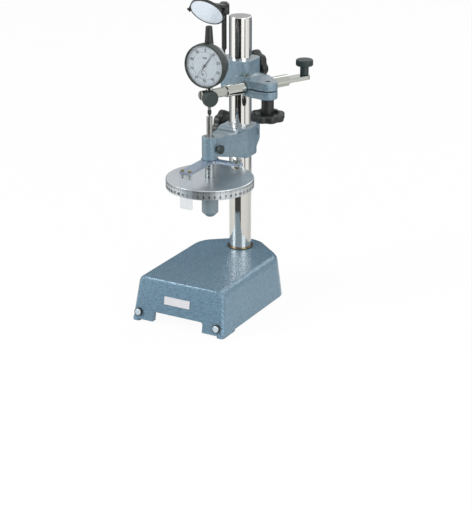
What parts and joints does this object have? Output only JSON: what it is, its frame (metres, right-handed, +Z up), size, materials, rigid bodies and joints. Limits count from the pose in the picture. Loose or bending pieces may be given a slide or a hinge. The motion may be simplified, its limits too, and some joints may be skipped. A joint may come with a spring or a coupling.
{
  "type": "dial indicator tester",
  "caption": "Bench stand with a column on a flared base: a micrometer head with a large graduated drum lifts a spindle under a dial indicator read with a tilting mirror.",
  "frame": {"origin": "on the column's axis at the level of the feet, in the middle of the round rear foot", "axes": "+Z up along the column, -Y towards the front face of the base and the dial, +X to the right as seen from the front"},
  "size_m": [0.141, 0.2286, 0.4029],
  "materials": {
    "hammer_finish": "hammered grey-blue enamel on cast metal",
    "chrome": "polished hard chrome",
    "steel": "ground",
    "satin_drum": "satin plated, with dark graduations",
    "black_plastic": "moulded, semi-matt",
    "blackened_metal": "black satin",
    "brass": "turned",
    "bare_plate": "bare light plate",
    "clear_plastic": "clear acrylic",
    "crystal": "clear",
    "dial_white": "white printed dial",
    "mirror_glass": "silvered",
    "case_metal": "satin"
  },
  "bodies": {
    "stand": {"base": "hammer_finish", "leg_plug_left": "hammer_finish", "leg_plug_right": "hammer_finish", "name_plate": "bare_plate", "column": "chrome", "column_collar": "brass", "column_set_screw": "steel"},
    "lower_carrier": {"lower_bracket": "hammer_finish", "micrometer_barrel": "steel", "index_retainer": "steel"},
    "lower_clamp": {"lower_clamp_knob": "black_plastic", "lower_clamp_stud": "steel"},
    "lock_screw": {"micrometer_lock_screw": "blackened_metal"},
    "spindle": {"micrometer_spindle": "steel"},
    "drum": {"drum": "satin_drum", "drum_knob": "hammer_finish"},
    "index": {"index_plate": "steel", "index_window": "clear_plastic", "window_screw_left": "brass", "window_screw_right": "brass", "lever_screw": "brass"},
    "upper_carrier": {"upper_bracket": "hammer_finish", "guide_screw": "brass", "mirror_post": "blackened_metal"},
    "column_clamp": {"column_clamp_knob": "black_plastic", "column_clamp_stud": "steel"},
    "rod_clamp": {"rod_clamp_knob": "black_plastic", "rod_clamp_stud": "steel"},
    "rod": {"holder_rod": "chrome"},
    "stem_screw": {"stem_clamp_screw": "black_plastic"},
    "tongue_screw": {"tongue_screw": "black_plastic"},
    "indicator": {"indicator_case": "case_metal", "case_cover": "case_metal", "indicator_stem": "chrome", "plunger_cap": "black_plastic", "dial_centre": "dial_white"},
    "bezel": {"bezel": "blackened_metal", "crystal": "crystal", "dial_ring": "dial_white"},
    "plunger": {"plunger": "steel", "contact_point": "blackened_metal"},
    "pointer": {"pointer": "blackened_metal"},
    "counter_pointer": {"counter_pointer": "blackened_metal"},
    "mirror_arm": {"mirror_arm": "black_plastic", "mirror_pivot_left": "blackened_metal", "mirror_pivot_right": "blackened_metal"},
    "mirror": {"mirror_cell": "blackened_metal", "mirror_glass": "mirror_glass"}
  },
  "joints": [
    {"name": "lower_bracket_height", "type": "slide", "parent": "stand", "child": "lower_carrier", "axis": [0, 0, 1], "range_m": [-0.055, 0]},
    {"name": "lower_clamp_turn", "type": "hinge", "parent": "lower_carrier", "child": "lower_clamp", "pos_m": [0, 0.0198, 0.2097], "axis": [-1, 0, 0], "range_deg": [0, 540]},
    {"name": "lock_screw_turn", "type": "hinge", "parent": "lower_carrier", "child": "lock_screw", "pos_m": [0, -0.0785, 0.213], "axis": [1, 0, 0], "range_deg": [0, 360]},
    {"name": "spindle_feed", "type": "slide", "parent": "lower_carrier", "child": "spindle", "axis": [0, 0, 1], "range_m": [-0.0045, 0.0045]},
    {"name": "drum_spin", "type": "hinge", "parent": "spindle", "child": "drum", "pos_m": [0, -0.0785, 0.169], "axis": [0, 0, 1], "range_deg": [-3240, 3240]},
    {"name": "index_turn", "type": "hinge", "parent": "lower_carrier", "child": "index", "pos_m": [0, -0.0785, 0.197], "axis": [0, 0, 1], "range_deg": [-10, 10]},
    {"name": "upper_bracket_height", "type": "slide", "parent": "stand", "child": "upper_carrier", "axis": [0, 0, 1], "range_m": [0, 0.045]},
    {"name": "column_clamp_turn", "type": "hinge", "parent": "upper_carrier", "child": "column_clamp", "pos_m": [-0.01972, 0.00975, 0.288], "axis": [0.4433, 0.8964, 0], "range_deg": [0, 540]},
    {"name": "rod_clamp_turn", "type": "hinge", "parent": "upper_carrier", "child": "rod_clamp", "pos_m": [0.05289, -0.02616, 0.2813], "axis": [0, 0, -1], "range_deg": [0, 540]},
    {"name": "rod_reach", "type": "slide", "parent": "upper_carrier", "child": "rod", "axis": [0.4433, 0.8964, 0], "range_m": [-0.03, 0.02]},
    {"name": "stem_screw_turn", "type": "hinge", "parent": "rod", "child": "stem_screw", "pos_m": [-0.00377, -0.08612, 0.2803], "axis": [0.8964, -0.4433, 0], "range_deg": [0, 360]},
    {"name": "tongue_screw_turn", "type": "hinge", "parent": "rod", "child": "tongue_screw", "pos_m": [0.06424, 0.05138, 0.2813], "axis": [0, 0, 1], "range_deg": [0, 360]},
    {"name": "indicator_swivel", "type": "hinge", "parent": "rod", "child": "indicator", "pos_m": [0, -0.0785, 0.2813], "axis": [0, 0, 1], "range_deg": [-90, 90]},
    {"name": "bezel_turn", "type": "hinge", "parent": "indicator", "child": "bezel", "pos_m": [0, -0.0885, 0.3191], "axis": [0, -1, 0], "continuous": true},
    {"name": "plunger_travel", "type": "slide", "parent": "indicator", "child": "plunger", "axis": [0, 0, 1], "range_m": [-0.0045, 0.0045]},
    {"name": "pointer_turn", "type": "hinge", "parent": "indicator", "child": "pointer", "pos_m": [0, -0.0865, 0.3191], "axis": [0, 1, 0], "range_deg": [-1620, 1620]},
    {"name": "counter_turn", "type": "hinge", "parent": "indicator", "child": "counter_pointer", "pos_m": [-0.0035, -0.0855, 0.3081], "axis": [0, 1, 0], "range_deg": [-162, 162]},
    {"name": "mirror_arm_swivel", "type": "hinge", "parent": "upper_carrier", "child": "mirror_arm", "pos_m": [-0.02398, 0.00115, 0.36], "axis": [0, 0, 1], "range_deg": [-60, 60]},
    {"name": "mirror_tilt", "type": "hinge", "parent": "mirror_arm", "child": "mirror", "pos_m": [0, -0.0826, 0.3847], "axis": [1, 0, 0], "range_deg": [-6, 28]}
  ],
  "couplings": [
    {"joint": "spindle_feed", "follows": "drum_spin", "m_per_rad": 0.000079577},
    {"joint": "plunger_travel", "follows": "drum_spin", "m_per_rad": 0.000079577},
    {"joint": "pointer_turn", "follows": "drum_spin", "ratio": 0.5},
    {"joint": "counter_turn", "follows": "drum_spin", "ratio": -0.05}
  ]
}
